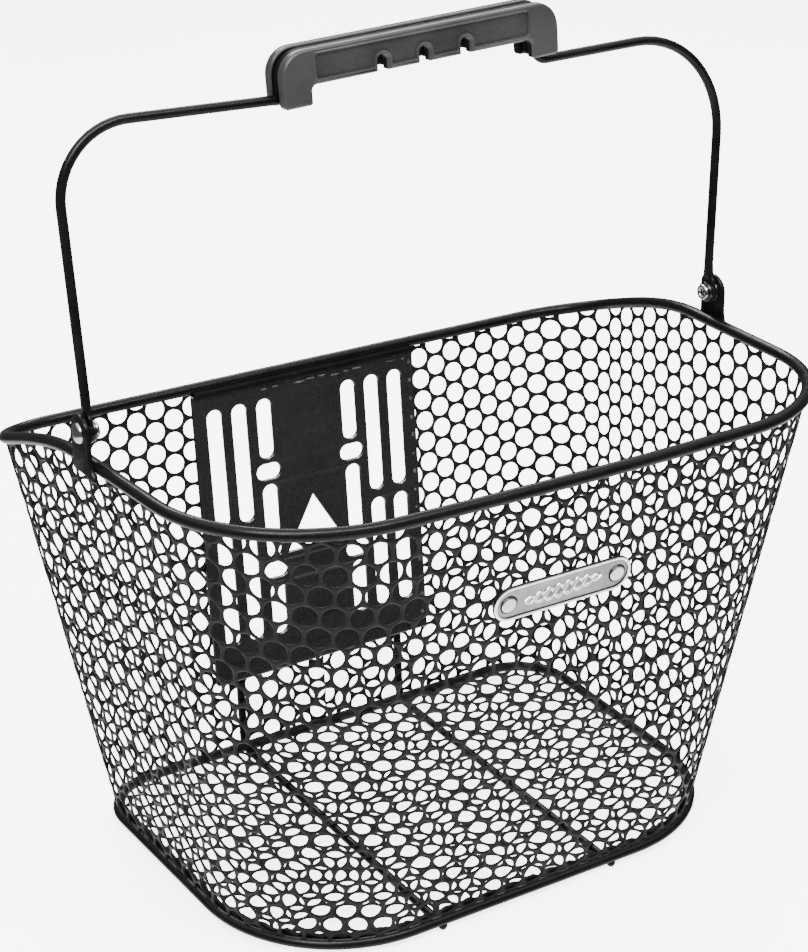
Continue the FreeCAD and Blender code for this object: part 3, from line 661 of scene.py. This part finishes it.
# ---- wires --------------------------------------------------------------------------
def closed_wire(name, loop, diameter, node):
    build = Build()
    path = resample(np.vstack([loop, loop[:1]]), 4.0)[:-1]
    build.loft(tube_rings(path, diameter / 2, (0, 0, 1), closed=True, sides=24, wobble=0.02), closed=True)
    build.make(name, "basket", RIM_PAINT, (node,))


def support_wires():
    out = MESH_T / 2 + SUPPORT_D / 2
    low_z = SUPPORT_D / 2
    foot_y = max(wall_back_y(low_z) + out / BACK_COS, RING["y_back"] + RING_D / 2 + SUPPORT_D / 2)
    top_y = wall_back_y(SUPPORT_TOP_Z) + out / BACK_COS
    for side, word in ((-1, "left"), (1, "right")):
        x = side * SUPPORT_X
        corners = [(x, top_y, SUPPORT_TOP_Z), (x, foot_y, low_z), (x, SUPPORT_FRONT_Y + 1, low_z)]
        path = fillet(corners, [SUPPORT_BEND_R])
        build = Build()
        build.loft(round_ends(resample(path, 5.0), SUPPORT_D / 2, (1, 0, 0)))
        build.make("support_bar_" + word, "basket", RIM_PAINT, ("support_wire_" + word,))


# ---- mounting plate -----------------------------------------------------------------
def on_plate(p):
    """(x, height, depth behind the plate's face) to 3-D."""
    across = MESH_T / 2 + PLATE_STANDOFF + PLATE_T - p[:, 2]
    y = wall_back_y(p[:, 1]) - across / BACK_COS
    return np.column_stack([p[:, 0], y, p[:, 1]])


def upright_slot(x, low, high):
    r = SLOT_W / 2
    return (arc(x, high - r, r, 0, 180, 12) + arc(x, low + r, r, 180, 360, 12))[::-1]


def plate_holes():
    holes = []
    r = SLOT_W / 2
    for side in (-1, 1):
        for x in SLOT_X[:2]:
            holes += [upright_slot(side * x, SLOT_MID_Z[0], SLOT_TOP_Z),
                      upright_slot(side * x, SLOT_LOW_Z, SLOT_MID_Z[1])]
        x = side * SLOT_X[2]
        edges = [SLOT_TOP_Z]
        for z in OVAL_Z:
            edges += [z + r + OVAL_GAP, z - r - OVAL_GAP]
            c = OVAL_L / 2 - r
            holes.append((arc(x + c, z, r, -90, 90, 12) + arc(x - c, z, r, 90, 270, 12))[::-1])
        edges.append(SLOT_LOW_Z)
        holes += [upright_slot(x, low, top) for top, low in zip(edges[::2], edges[1::2])]
    foot = TRI_APEX_Z - TRI_H
    holes.append([(-TRI_W / 2, foot), (0, TRI_APEX_Z), (TRI_W / 2, foot)])
    return holes


def mounting_plate():
    build = Build(on_plate)
    h, lo, hi, r = PLATE_HALF, PLATE_LOW_Z, PLATE_TOP_Z, 1.5
    outline = (arc(h - r, lo + r, r, -90, 0, 4) + arc(h - r, hi - r, r, 0, 90, 4)
               + arc(-h + r, hi - r, r, 90, 180, 4) + arc(-h + r, lo + r, r, 180, 270, 4))
    slab(build, outline, rounded(PLATE_T, 0, 0.45), plate_holes())
    build.make("mounting_plate_pressed", "basket", PLATE_PAINT, ("mounting_plate",))


def blob(build, centre, size):
    """A low irregular drop of weld metal."""
    sides, rows = 10, 4
    rings = []
    seed = Vector(centre) * 0.7
    for j in range(rows + 1):
        tilt = math.pi / 2 * j / rows
        ring = []
        for i in range(sides):
            a = 2 * math.pi * i / sides
            lump = noise.noise(seed + Vector((math.cos(a), math.sin(a), tilt)) * 1.3)
            r = math.cos(tilt) * (1 + 0.35 * lump)
            ring.append((centre[0] + size[0] * r * math.cos(a), centre[1] + size[1] * r * math.sin(a),
                         centre[2] - size[2] * math.sin(tilt)))
        rings.append(np.array(ring))
    build.loft(rings)


def plate_welds():
    """Fillet weld along the plate's top, and spot marks where the mesh laps its margins."""
    seam = Build(on_plate)
    n = 120
    path = np.column_stack([np.linspace(-PLATE_HALF + 1, PLATE_HALF - 1, n),
                            np.full(n, PLATE_TOP_Z + 0.1), np.full(n, 0.5)])
    size = np.array([2.1 + 0.3 * noise.noise(Vector((x * 0.3, 3, 0))) for x in path[:, 0]])
    seam.loft(tube_rings(path, size, (0, 0, 1), sides=12))
    seam.make("plate_weld_seam", "basket", SEAM_PAINT, ("plate_weld",), sharp=70)
    specks = Build(on_plate)
    for x in np.arange(-46, 54, 6.5):
        drop, long = RNG.uniform(3.2, 4.4), RNG.uniform(0.8, 3.6)
        if RNG.random() < 0.7:
            blob(specks, (x + drop, PLATE_TOP_Z - drop, 0.1), (long, 0.45, 0.3))
    for z in np.arange(PLATE_LOW_Z + 8, PLATE_TOP_Z - 6, PITCH * math.sqrt(3) / 2):
        size = RNG.uniform(0.6, 1.2)
        blob(specks, (PLATE_HALF - 3.2 + size, z + size, 0.1), (size, 1.1 * size, 0.3))
    specks.make("plate_spot_welds", "basket", WELD, (), sharp=80)


# ---- pivots -------------------------------------------------------------------------
def at_pivot(side):
    """(back, up, outwards distance from the middle plane) to 3-D."""
    def put(p):
        return np.column_stack([side * p[:, 2], PIVOT[1] + p[:, 0], PIVOT[2] + p[:, 1]])
    return put


def bracket_outline():
    """Lug seen from the side: round top, straight back edge, and a flare where its front meets the rim."""
    r, low, flare, toe = BRACKET_W / 2, -BRACKET_DROP, 4.2, 1.6
    front = [(-r - flare * (1 - math.sin(a)), low + toe + 9.0 * (1 - math.cos(a)))
             for a in np.radians((90, 68, 48, 28, 8))]
    return [(-r - flare, low), (r, low)] + arc(0, 0, r, 0, 180, 28) + front


def pivots():
    """On each side the lug, the washers and the rivet with its dome outside and rolled end inside."""
    hole = arc(0, 0, RIVET_D / 2, 360, 0, 24)[:-1]
    for side, word in ((-1, "left"), (1, "right")):
        put = at_pivot(side)
        lug = Build(put)
        slab(lug, bracket_outline(), rounded(BRACKET_IN_X, BRACKET_IN_X + BRACKET_T, 0.5), [hole])
        lug.make("pivot_lug_" + word, "basket", RIM_PAINT, ("pivot_bracket_" + word,))
        for name, x_out, t, d, node in (("spacer", BRACKET_IN_X, SPACER_T, SPACER_D, "spacer_washer_"),
                                        ("washer", WASHER_OUT_X, WASHER_T, WASHER_D, "inner_washer_")):
            ring = Build(put)
            slab(ring, arc(0, 0, d / 2, 0, 360, 40)[:-1], rounded(x_out - t, x_out, 0.22), [hole])
            ring.make(f"pivot_{name}_{word}", "basket", DULL_ZINC, (node + word,))
        rivet = Build(put)
        head, end = BRACKET_IN_X + BRACKET_T, WASHER_OUT_X - WASHER_T
        dome = [(head + DOME_H * math.cos(a), DOME_R * math.sin(a) ** 0.8)
                for a in np.linspace(0.02, 1.35, 8)]
        roll = [(end - 1.0 - ROLL_D * math.sin(a), ROLL_R + ROLL_D * math.cos(a))
                for a in np.linspace(-1.4, math.pi, 10)]
        lathe(rivet, dome + [(head + 0.25, DOME_R), (head, 4.4), (head, 2.25), (end, 2.25)] + roll
              + [(end - 1.0, 1.6), (end + 1.2, 1.5), (end + 1.3, 1e-4)])
        rivet.make("pivot_rivet_set_" + word, "basket", ZINC, ("pivot_rivet_" + word,))


# ---- bail ---------------------------------------------------------------------------
def lean(p):
    """Tips points of the upright bail by its small lean at rest, about the pivot."""
    a = math.radians(-BAIL_LEAN)
    y, z = p[:, 1] - PIVOT[1], p[:, 2] - PIVOT[2]
    return np.column_stack([p[:, 0], PIVOT[1] + y * math.cos(a) - z * math.sin(a),
                            PIVOT[2] + y * math.sin(a) + z * math.cos(a)])


def on_grip(p):
    """(x, height above the pivot, depth to the back) on the askew, leaning grip to 3-D."""
    a = math.radians(GRIP_SKEW)
    x, rise = p[:, 0], p[:, 1] - GRIP_MID_H
    h = GRIP_MID_H + x * math.sin(a) + rise * math.cos(a)
    return lean(np.column_stack([x * math.cos(a) - rise * math.sin(a), PIVOT[1] + p[:, 2], PIVOT[2] + h]))


def upright(x, h):
    """A point of the bail before its lean, at a height above the pivot."""
    return np.array([x, PIVOT[1], PIVOT[2] + h])


def askew(x, h):
    """The same for a point inside the grip, which sits slightly off level."""
    a = math.radians(GRIP_SKEW)
    return upright(x * math.cos(a) - (h - GRIP_MID_H) * math.sin(a),
                   GRIP_MID_H + x * math.sin(a) + (h - GRIP_MID_H) * math.cos(a))


def bail_wire():
    """The bent bar from eye to eye, running through the grip's core, and its two flattened eyes."""
    def leg(side, h):
        return upright(side * (EYE_MID_X + BAIL_SPLAY * (h - EYE_TAPER)), h)

    foot = BAIL_H - BAIL_DROP
    points = [leg(-1, EYE_TAPER), leg(-1, BAIL_H), upright(-WIRE_UP_X, foot),
              askew(-WIRE_UP_X, WIRE_CORE_H), askew(WIRE_UP_X, WIRE_CORE_H),
              upright(WIRE_UP_X, foot), leg(1, BAIL_H), leg(1, EYE_TAPER)]
    radii = [BAIL_R_LEFT, WIRE_UP_R, WIRE_UP_R, WIRE_UP_R, WIRE_UP_R, BAIL_R_RIGHT]
    path = resample(fillet(points, radii), 3.0)
    build = Build(lean)
    build.loft(tube_rings(path, BAIL_D / 2, (0, 1, 0), sides=24))
    turn = np.arange(28) * 2 * math.pi / 28
    for side in (-1, 1):
        rings = []
        for h, half_x, half_y in EYE_STEPS:
            power = 0.45 + 0.55 * min(h / EYE_TAPER, 1)
            c, s = np.cos(turn), np.sin(turn)
            x = side * EYE_MID_X + half_x * np.sign(c) * np.abs(c) ** power
            y = PIVOT[1] + half_y * np.sign(s) * np.abs(s) ** power
            rings.append(np.column_stack([x, y, np.full(28, PIVOT[2] + h)]))
        build.loft(rings)
        eye = Build(at_pivot(side))
        hole = arc(0, 0, RIVET_D / 2 + 0.05, 360, 0, 24)[:-1]
        slab(eye, arc(0, 0, EYE_W / 2, 0, 360, 40)[:-1], rounded(EYE_IN_X, EYE_OUT_X, 0.4), [hole])
        build.add(np.concatenate(eye.verts), eye.faces)
    build.make("bail_wire_bent", "bail", BAIL_PAINT, ("bail_wire",))


# ---- grip ---------------------------------------------------------------------------
def notched_floor(x_from, x_to, floor, r, centre_h, ease=0.7):
    """A lower edge from left to right that climbs round each notch, with eased corners."""
    run = [(x_from, floor)]
    for x in NOTCH_X:
        run += arc(x - r - ease, floor + ease, ease, -90, 0, 4)
        run += arc(x, centre_h, r, 180, 0, 14)
        run += arc(x + r + ease, floor + ease, ease, 180, 270, 4)
    run.append((x_to, floor))
    return run


def grip_outline(d=0.0, notch=NOTCH_R):
    """Front view of the grip, anticlockwise, drawn in by d."""
    half, top = GRIP_HALF - d, GRIP_TOP_H - d
    bar, foot, inner = GRIP_BAR_H + d, GRIP_FOOT_H + d, GRIP_FOOT_IN + d
    centre = NOTCH_TOP_H - NOTCH_R
    line = notched_floor(-inner + 3, inner - 3, bar, notch, centre)
    line += arc(inner - 2.2, bar - 2.2, 2.2, 90, 0, 5)
    line += arc(inner + 1.3, foot + 1.3, 1.3, 180, 270, 4) + arc(half - 2, foot + 2, 2, -90, 0, 5)
    r = GRIP_R_TOP
    line += arc(half - r, top - r, r, 0, 90, 14) + arc(-half + r, top - r, r, 90, 180, 14)
    line += arc(-half + 2, foot + 2, 2, 180, 270, 5) + arc(-inner - 1.3, foot + 1.3, 1.3, 270, 360, 4)
    line += arc(-inner + 2.2, bar - 2.2, 2.2, 180, 90, 5)
    return line


def panel_outline(d=0.0):
    """The recessed panel: a long rectangle whose lower border rides over the notches."""
    h, top, low, r = PANEL_HALF - d, PANEL_TOP_H - d, PANEL_LOW_H + d, 1.6
    line = notched_floor(-h + r, h - r, low, LIP_R + d, NOTCH_TOP_H - NOTCH_R, 0.5)
    line += arc(h - r, low + r, r, -90, 0, 5)[1:] + arc(h - r, top - r, r, 0, 90, 5)
    line += arc(-h + r, top - r, r, 90, 180, 5) + arc(-h + r, low + r, r, 180, 270, 5)[:-1]
    return line


def under_side(points):
    """Which side walls face the hollow under the bar, in the notches and inside the feet; these get painted
    shade.
    """
    ahead = np.roll(points, -1, 0)
    middle = (points + ahead) / 2
    return (np.abs(middle[:, 0]) < GRIP_FOOT_IN + 0.6) & (middle[:, 1] < NOTCH_TOP_H + 1)


def shell(build, outline, steps):
    """Side walls of one half of the grip; those that face the hollow below take the core's near-black
    material as painted shade, as does the face that lies on the core.
    """
    dark = under_side(np.asarray(outline, float))
    rings = [np.column_stack([inset(outline, d), np.full(len(outline), z)]) for d, z in steps]
    for k, (a, b) in enumerate(zip(rings, rings[1:])):
        first = len(build.mats)
        build.loft([a, b])
        # painted shade: the steps nearest the core go near-black where they face the hollow below
        if k < SHADED_STEPS:
            build.mats[first:] = [int(d) for d in dark]
    build.cap([inset(outline, steps[0][0])], steps[0][1], 1)


def grip():
    """Two moulded shells on a core flange, the recessed grained panel and the screws at the back."""
    far, near = GRIP_T / 2, FLANGE_T / 2
    outline = grip_outline()
    steps = [(0.9, -near), (0.4, -near - 0.12), (0.1, -near - 0.45), (0, -near - 0.9), (0, -far + 1.6),
             (0.14, -far + 0.95), (0.5, -far + 0.4), (1.0, -far + 0.1), (1.7, -far)]
    plastics = [GRIP_PLASTIC, CORE_AND_SHADE_PLASTIC]
    front = Build(on_grip)
    shell(front, outline, steps)
    hole = panel_outline(-0.7)[::-1]
    front.cap([inset(outline, 1.7), hole], -far)
    lip = [(-0.7, 0), (-0.5, -0.22), (-0.25, -0.32), (0.0, -0.22), (0.15, 0.1), (0.25, PANEL_RECESS)]
    front.loft([np.column_stack([panel_outline(d), np.full(len(hole), -far + z)]) for d, z in lip])
    front.make("grip_front_shell_moulded", "bail", plastics, ("grip_front_shell",))
    panel = Build(on_grip)
    panel.cap([panel_outline(0.2)], -far + PANEL_RECESS - 0.25)
    panel.make("grip_panel_grained", "bail", PANEL_PLASTIC, ("grip_panel",))
    rear = Build(on_grip)
    shell(rear, outline, [(d, -z) for d, z in steps])
    rear.cap([inset(outline, 1.7)], far)
    rear.make("grip_rear_shell_moulded", "bail", plastics, ("grip_rear_shell",))
    core = Build(on_grip)
    slab(core, grip_outline(FLANGE_INSET, NOTCH_R + FLANGE_INSET),
         [(0, -near - 0.2), (0, -1.3), (-0.1, -1.0), (-0.6, -0.75), (-0.75, -0.4),
          (-0.75, 0.4), (-0.6, 0.75), (-0.1, 1.0), (0, 1.3), (0, near + 0.2)])
    core.make("grip_core_flange", "bail", CORE_AND_SHADE_PLASTIC, ("grip_core",))
    screws = Build(on_grip)
    for x in SCREW_X:
        lathe(screws, ((far - 0.6, SCREW_R), (far + 0.1, SCREW_R), (far + 0.35, SCREW_R * 0.8),
                       (far + 0.4, 0.85), (far - 0.3, 0.8), (far - 0.3, 0.001)), 32, (x, SCREW_H))
    screws.make("grip_screw_heads", "bail", ZINC, ("grip_screws",))


# ---- badge --------------------------------------------------------------------------
def on_badge(p):
    """(x, up the wall, out from the mesh) to 3-D."""
    c, s = math.cos(FRONT_TILT), math.sin(FRONT_TILT)
    y0 = RING["y_front"] - (BADGE_Z - RING_Z) * FRONT_SLOPE
    y = y0 - p[:, 2] * c - p[:, 1] * s
    return np.column_stack([BADGE_X + p[:, 0], y, BADGE_Z - p[:, 2] * s + p[:, 1] * c])


def obround(length, height):
    r, c = height / 2, length / 2 - height / 2
    return arc(c, 0, r, -90, 90, 22) + arc(-c, 0, r, 90, 270, 22)


def badge():
    """Cast plate with a raised border, a twisted relief, two rivets and the washers behind the mesh; its edge
    walls and a disc round each rivet head are painted shade.
    """
    back = MESH_T / 2 + BADGE_STANDOFF
    face = back + BADGE_T
    field = face - BADGE_SUNK
    build = Build(on_badge)
    outline = obround(BADGE_L, BADGE_H)
    edge = [(0.3, back), (0, back + 0.3), (0, face - 0.55), (0.2, face - 0.15)]
    border = [edge[-1], (0.6, face), (1.1, face - 0.02), (1.5, face - 0.12)]
    step_down = [border[-1], (1.75, field)]
    # The outer side wall and the step down to the field are painted shade (material 2).
    slab(build, outline, edge, mat=2, caps=(True, False))
    slab(build, outline, border, caps=(False, False))
    slab(build, outline, step_down, mat=2, caps=(False, False))
    build.cap([inset(outline, step_down[-1][0])], field, 1)
    metals_and_shade = [BADGE_METAL, BADGE_FIELD, BADGE_PAINTED_SHADE]
    build.make("badge_plate_cast", "basket", metals_and_shade, ("badge_plate",))

    # A flat near-black disc on the field round each rivet head, set a little off centre: painted shade of the
    # countersink gap.
    rivet_shade = Build(on_badge)
    for side in (-1, 1):
        x = side * BADGE_RIVET_PITCH / 2
        rivet_shade.cap([arc(x + 0.3, -0.3, 4.2, 0, 360, 40)[:-1]], face - 0.57)
    rivet_shade.make("badge_rivet_painted_shade", "basket", BADGE_PAINTED_SHADE, ())

    relief = Build(on_badge)
    for phase in (0, math.pi):
        x = np.linspace(-TWIST_HALF, TWIST_HALF, 150)
        swell = np.sin(np.pi * (x + TWIST_HALF) / (2 * TWIST_HALF)) ** 0.5
        y = TWIST_H * swell * np.sin(x * 2 * math.pi / TWIST_PITCH + phase) + 0.06 * x
        z = face - 0.55 + 0.25 * np.cos(x * 2 * math.pi / TWIST_PITCH + phase)
        relief.loft(round_ends(np.column_stack([x, y, z]), TWIST_R, (0, 0, 1), sides=10))
    relief.make("badge_twist_relief", "basket", BADGE_METAL, ())

    r = BADGE_RIVET_D / 2
    head = ((field, r * 0.9), (face - 0.35, r), (face + 0.12, r), (face + 0.35, r - 0.3),
            (face + 0.38, r - 0.6), (face + 0.39, 0.001))
    washer = ((-1.1, 1.5), (-1.1, 5.3), (-1.3, 5.5), (-1.7, 5.5), (-1.9, 5.3), (-1.9, 2.6),
              (-2.6, 2.2), (-2.8, 0.001))
    for name, profile, metal, node, slot in (
            ("badge_rivet_heads", head, BADGE_RIVET, "badge_rivets", "badge_silver"),
            ("badge_back_washers", washer, DULL_ZINC, "badge_washers", "zinc")):
        piece = Build(on_badge)
        for side in (-1, 1):
            lathe(piece, profile, 36, (side * BADGE_RIVET_PITCH / 2, 0.0))
        piece.make(name, "basket", metal, (node,))


# ---- stage --------------------------------------------------------------------------
def floor():
    """A lit table under the basket, wide enough to fill the picture."""
    mat, tree, shader, coords = new_material("studio_floor")
    cloud = ramp(tree, noise_node(tree, coords, 3), 0, 1)
    tone = mix_color(tree, cloud, (0.90, 0.90, 0.90), (0.93, 0.93, 0.93))
    tree.links.new(tone, shader.inputs["Base Color"])
    tree.links.new(tone, shader.inputs["Emission Color"])
    shader.inputs["Emission Strength"].default_value = FLOOR_GLOW
    tree.links.new(ramp(tree, noise_node(tree, coords, 60), 0.75, 0.9), shader.inputs["Roughness"])
    n = FLOOR_CELLS + 1
    line = np.linspace(-FLOOR_HALF, FLOOR_HALF, n)
    grid = [(x, y, 0.0) for y in line for x in line]
    quads = [(j * n + i, j * n + i + 1, (j + 1) * n + i + 1, (j + 1) * n + i)
             for j in range(FLOOR_CELLS) for i in range(FLOOR_CELLS)]
    mesh = bpy.data.meshes.new("studio_floor")
    mesh.from_pydata(grid, [], quads)
    mesh.materials.append(mat)
    obj = bpy.data.objects.new("studio_floor", mesh)
    bpy.context.scene.collection.objects.link(obj)
    obj.visible_glossy = False          # gloss mirrors the studio round the table, not the table


def area_light(name, at, size, power):
    data = bpy.data.lights.new(name, "AREA")
    data.shape = "RECTANGLE"
    data.size, data.size_y = size
    data.energy = power
    obj = bpy.data.objects.new(name, data)
    obj.location = at
    aim = Vector(LIGHTS_AIM) - Vector(at)
    obj.rotation_mode = "QUATERNION"
    obj.rotation_quaternion = aim.to_track_quat("-Z", "Y")
    bpy.context.scene.collection.objects.link(obj)


def lights():
    """A world with a bright ceiling, a dark horizon and bright ground, and three softboxes."""
    world = bpy.data.worlds.new("studio")
    world.use_nodes = True
    tree = world.node_tree
    sky = tree.nodes["Background"]
    sky.inputs["Color"].default_value = (1, 1, 1, 1)
    height = tree.nodes.new("ShaderNodeSeparateXYZ")
    tree.links.new(tree.nodes.new("ShaderNodeTexCoord").outputs["Generated"], height.inputs[0])
    total = tree.nodes.new("ShaderNodeMath")
    tree.links.new(ramp(tree, height.outputs[2], 0.2, 4.0, 0.4, 0.9), total.inputs[0])
    tree.links.new(ramp(tree, height.outputs[2], 3.4, 0.0, -0.60, -0.42), total.inputs[1])
    seen = tree.nodes.new("ShaderNodeMath")         # past the table's edge the camera sees a lit wall
    seen.operation = "MULTIPLY_ADD"
    tree.links.new(tree.nodes.new("ShaderNodeLightPath").outputs["Is Camera Ray"], seen.inputs[0])
    seen.inputs[1].default_value = WALL_GLOW
    tree.links.new(total.outputs[0], seen.inputs[2])
    tree.links.new(seen.outputs[0], sky.inputs["Strength"])
    bpy.context.scene.world = world
    for box in SOFTBOXES:
        area_light(*box)


def camera():
    """The camera the basket is pictured by, turned by yaw, pitch and roll."""
    yaw, pitch, roll = (math.radians(a) for a in (CAMERA_YAW, CAMERA_PITCH, CAMERA_ROLL))
    ahead = Vector((math.sin(yaw) * math.cos(pitch), math.cos(yaw) * math.cos(pitch), -math.sin(pitch)))
    right = Vector((math.cos(yaw), -math.sin(yaw), 0))
    up = right.cross(ahead)
    across = right * math.cos(roll) + up * math.sin(roll)
    over = up * math.cos(roll) - right * math.sin(roll)
    data = bpy.data.cameras.new("photo_camera")
    data.lens, data.sensor_width = CAMERA_LENS, 36.0
    data.clip_start, data.clip_end = 0.05, 50
    obj = bpy.data.objects.new("photo_camera", data)
    turn = Matrix((across, over, -ahead)).transposed().to_4x4()
    obj.matrix_world = Matrix.Translation(CAMERA_AT) @ turn
    bpy.context.scene.collection.objects.link(obj)
    bpy.context.scene.camera = obj


camera()
lights()
floor()
closed_wire("rim_wire_bent", RIM_LOOP, RIM_D, "rim_wire")
closed_wire("base_ring_bent", RING_LOOP, RING_D, "base_ring")
support_wires()
wall_mesh()
base_mesh()
base_hem()
mounting_plate()
plate_welds()
pivots()
bail_wire()
grip()
badge()
